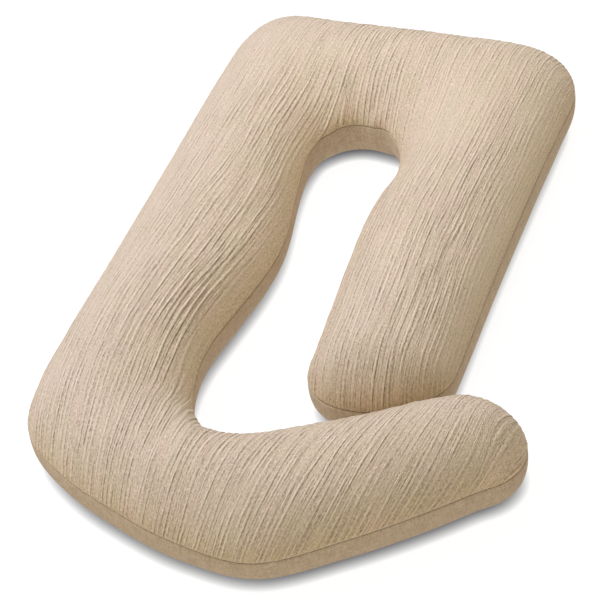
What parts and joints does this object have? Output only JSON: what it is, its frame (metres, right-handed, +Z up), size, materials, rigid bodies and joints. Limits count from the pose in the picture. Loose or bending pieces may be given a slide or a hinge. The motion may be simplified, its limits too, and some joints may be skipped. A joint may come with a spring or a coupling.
{
  "type": "body pillow",
  "caption": "Full-length C-shaped body pillow with a turned-up lower arm, ribbed cover and seam round its edge, lying flat",
  "frame": {"origin": "on the surface that the pillow lies on, under the middle of its box", "axes": "+Y along the two legs towards the top bar, +X from the long leg towards the short leg, +Z up"},
  "size_m": [0.8916, 1.4354, 0.1895],
  "materials": {
    "cover": "oatmeal ribbed knit cloth, matt, finely heathered"
  },
  "bodies": {
    "root": {"body_pillow": "cover"}
  },
  "joints": []
}
